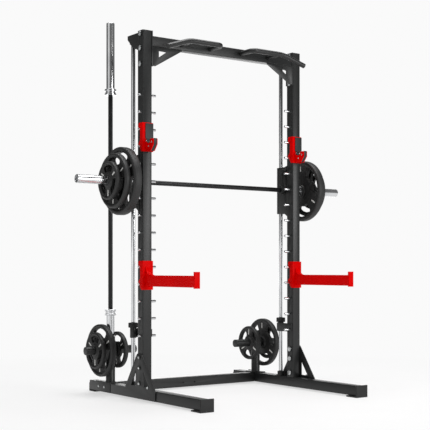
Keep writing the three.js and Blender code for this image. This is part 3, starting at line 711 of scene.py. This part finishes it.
# ---- fasteners -----------------------------------------------------------------------------------
def bolt_head(radius, height):
    """A six-sided head with a chamfered top on a thin round washer, modelled both ways along X."""
    disc = rounded_rod(-1.5 * MM, 1.5 * MM, radius, 0.5 * MM)
    washer = turned("x", Vector((0, 0, 0)), disc, 32)
    hexagon = radius * 0.74
    profile = [
        (-height, 0), (-height, hexagon * 0.84), (-height + 1.2 * MM, hexagon),
        (height - 1.2 * MM, hexagon), (height, hexagon * 0.84), (height, 0),
    ]
    return merged([washer, turned("x", Vector((0, 0, 0)), profile, 6)])


def bolts(name, head, places, body):
    """Zinc bolt heads along X at the given places, riding on a body."""
    made = repeated(name, bolt_head(*head), places, (1, 0, 0), "zinc")
    settle(made, body, "chrome")


def fasteners():
    for side, s in zip(SIDES, WAYS):
        low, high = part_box(f"upright_{side}")
        outer = max(abs(low.x), abs(high.x))
        inner = min(abs(low.x), abs(high.x))
        y = (low.y + high.y) / 2
        points = [(s * (outer + 4.5 * MM), y, z) for z in BEAM_BOLTS_Z]
        points += [(s * (inner - 4.5 * MM), y, z) for z in BASE_BOLTS_Z]
        points += [(s * (inner - 8.0 * MM), y, z) for z in BEAM_BOLTS_Z]
        bolts(f"big_bolts_{side}", BIG_HEAD, points, "frame")
        points = [(s * (outer + 9.5 * MM), y, z) for z in BASE_BOLTS_Z]
        bolts(f"foot_bolts_{side}", FOOT_HEAD, points, "frame")
        plate = s * (outer + 6.5 * MM)
        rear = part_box(f"storage_post_{side}")[1].y
        points = [(plate, *BASE_SMALL_BOLT)]
        points += [(plate, rear - back, POST_BOLTS_Z) for back in POST_BOLTS_BACK]
        bolts(f"small_bolts_{side}", SMALL_HEAD, points, "frame")
        hook = f"j_hook_{side}"
        low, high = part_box(hook)
        mid = (low.x + high.x) / 2
        points = [(mid + way * CUP_CHEEK, py, pz) for way in WAYS for py, pz in CUP_SCREWS]
        bolts(f"cup_screws_{side}", CUP_HEAD, points, hook)


# ---- floor, light and camera ---------------------------------------------------------------------
def aim(lamp, target):
    lamp.rotation_euler = (Vector(target) - lamp.location).to_track_quat("-Z", "Y").to_euler()


def softbox(name, place, target, size, power):
    data = bpy.data.lights.new(name, "AREA")
    data.shape = "RECTANGLE"
    data.size, data.size_y = size
    data.energy = power
    lamp = bpy.data.objects.new(name, data)
    bpy.context.scene.collection.objects.link(lamp)
    lamp.location = place
    lamp.visible_camera = False
    aim(lamp, target)


def studio():
    """A pale floor and backdrop that show as white paper, while softer light falls on the machine."""
    bpy.context.scene.view_settings.view_transform = "Standard"
    bpy.ops.mesh.primitive_circle_add(vertices=96, radius=40, fill_type="NGON", location=(0, 0, 0))
    floor = bpy.context.object
    floor.name = "floor"
    material, tree = new_material("pale seamless floor")
    where = add(tree, "ShaderNodeTexCoord")
    length = add(tree, "ShaderNodeVectorMath", {0: where.outputs["Object"]}, operation="LENGTH")
    values = {"From Min": FLOOR_NEAR, "From Max": FLOOR_FAR, "To Min": 0.6}
    far = add(tree, "ShaderNodeMapRange", {"Value": length.outputs["Value"]}, values)
    grain = noise(tree, 3.0, 2.0)
    colour = between(tree, spread(tree, grain.outputs[0], 0.0, 1.0), "#F4F4F4", "#F7F7F7")
    near = add(tree, "ShaderNodeBsdfPrincipled", {"Base Color": colour}, {"Roughness": 0.7})
    glow = add(tree, "ShaderNodeEmission", None, {"Color": (1, 1, 1, 1), "Strength": PAPER})
    mix = add(tree, "ShaderNodeMixShader", {0: far.outputs[0], 1: near.outputs[0], 2: glow.outputs[0]})
    surface(tree, mix)
    floor.data.materials.append(material)

    world = bpy.data.worlds.new("studio")
    bpy.context.scene.world = world
    world.use_nodes = True
    tree = world.node_tree
    tree.nodes.clear()
    rays = add(tree, "ShaderNodeLightPath")
    lit = add(tree, "ShaderNodeBackground", None, {"Color": (1, 1, 1, 1), "Strength": AMBIENT})
    shown = add(tree, "ShaderNodeBackground", None, {"Color": (1, 1, 1, 1), "Strength": PAPER})
    links = {0: rays.outputs["Is Camera Ray"], 1: lit.outputs[0], 2: shown.outputs[0]}
    mix = add(tree, "ShaderNodeMixShader", links)
    add(tree, "ShaderNodeOutputWorld", {"Surface": mix.outputs[0]})

    softbox("overhead", (0.3, -0.3, 6.0), (0, 0, 0), (4.5, 4.5), OVERHEAD)
    softbox("front", (1.7, -5.4, 1.9), (0, 0, 1.2), (2.2, 2.2), FRONT)
    softbox("left", (-6.5, -0.8, 2.6), (0, 0, 1.0), (5.5, 5.0), LEFT)
    softbox("behind", (4.7, 6.5, 1.5), (0, 0, 0.6), (7.0, 2.6), BEHIND)

    camera = bpy.data.cameras.new("camera")
    camera.sensor_width = 36
    camera.lens = 86.67
    camera.shift_y = 0.125
    camera.clip_end = 200
    stand = bpy.data.objects.new("camera", camera)
    bpy.context.scene.collection.objects.link(stand)
    stand.location = CAMERA_PLACE
    stand.rotation_euler = (math.radians(90), 0, math.radians(CAMERA_TURN))
    bpy.context.scene.camera = stand


steelwork()
rods()
pegs()
smith_bar()
barbell()
handles()
plates()
fasteners()
studio()
